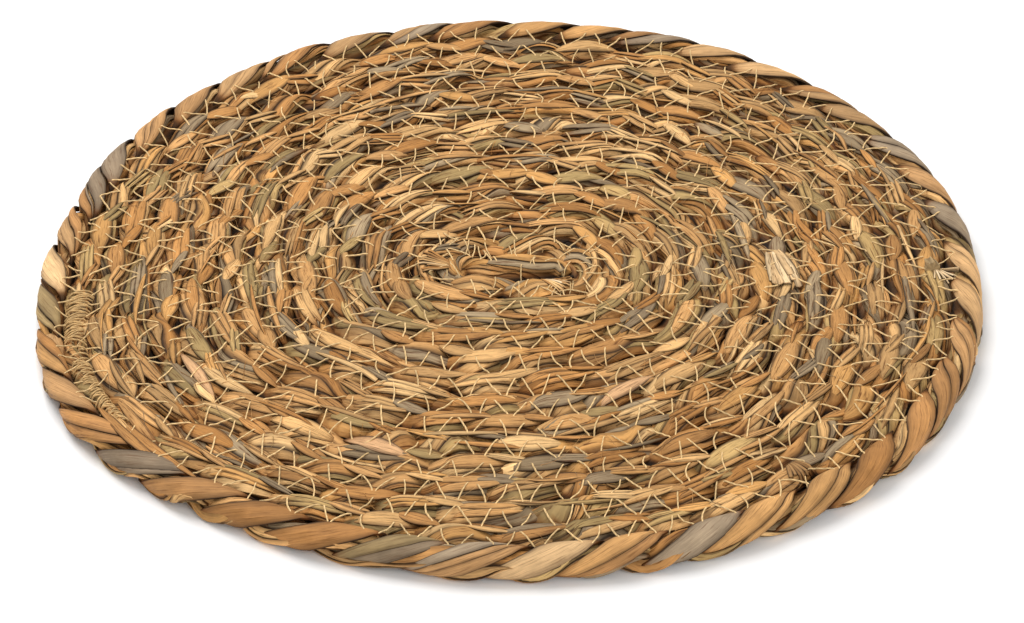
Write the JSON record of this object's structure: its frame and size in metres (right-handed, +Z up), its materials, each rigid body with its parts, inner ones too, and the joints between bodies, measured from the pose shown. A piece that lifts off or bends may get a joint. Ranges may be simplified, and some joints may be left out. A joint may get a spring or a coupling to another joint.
{
  "type": "chair seat pad",
  "caption": "Round flat seat pad: a three-strand dried-grass plait wound as a spiral and sewn row to row, with a plaited rim, to lie on a chair seat.",
  "frame": {"origin": "middle of the underside, where the pad rests on the seat", "axes": "+Z up through the pad's thickness, +X to the right and -Y to the front as pictured"},
  "size_m": [0.3794, 0.3794, 0.011],
  "materials": {
    "coil_straw": "dry plaited grass",
    "rim_straw": "dry plaited grass",
    "pale_leaf": "dry leaf",
    "sewing_thread": "matt cotton thread"
  },
  "bodies": {
    "root": {"coil_strand_a_01": "coil_straw", "coil_strand_a_02": "coil_straw", "coil_strand_a_03": "coil_straw", "coil_strand_a_04": "coil_straw", "coil_strand_a_05": "coil_straw", "coil_strand_a_06": "coil_straw", "coil_strand_a_07": "coil_straw", "coil_strand_a_08": "coil_straw", "coil_strand_a_09": "coil_straw", "coil_strand_a_10": "coil_straw", "coil_strand_a_11": "coil_straw", "coil_strand_b_01": "coil_straw", "coil_strand_b_02": "coil_straw", "coil_strand_b_03": "coil_straw", "coil_strand_b_04": "coil_straw", "coil_strand_b_05": "coil_straw", "coil_strand_b_06": "coil_straw", "coil_strand_b_07": "coil_straw", "coil_strand_b_08": "coil_straw", "coil_strand_b_09": "coil_straw", "coil_strand_b_10": "coil_straw", "coil_strand_b_11": "coil_straw", "coil_strand_c_01": "coil_straw", "coil_strand_c_02": "coil_straw", "coil_strand_c_03": "coil_straw", "coil_strand_c_04": "coil_straw", "coil_strand_c_05": "coil_straw", "coil_strand_c_06": "coil_straw", "coil_strand_c_07": "coil_straw", "coil_strand_c_08": "coil_straw", "coil_strand_c_09": "coil_straw", "coil_strand_c_10": "coil_straw", "coil_strand_c_11": "coil_straw", "rim_joint_leaf": "pale_leaf", "rim_strand_a_1": "rim_straw", "rim_strand_a_2": "rim_straw", "rim_strand_b_1": "rim_straw", "rim_strand_b_2": "rim_straw", "rim_strand_c_1": "rim_straw", "rim_strand_c_2": "rim_straw", "rim_thread": "sewing_thread", "seam_thread_1": "sewing_thread", "seam_thread_2": "sewing_thread", "seam_thread_3": "sewing_thread", "seam_thread_4": "sewing_thread", "seam_thread_5": "sewing_thread", "seam_thread_6": "sewing_thread", "start_thread": "sewing_thread", "tail_whipping": "sewing_thread"}
  },
  "joints": []
}
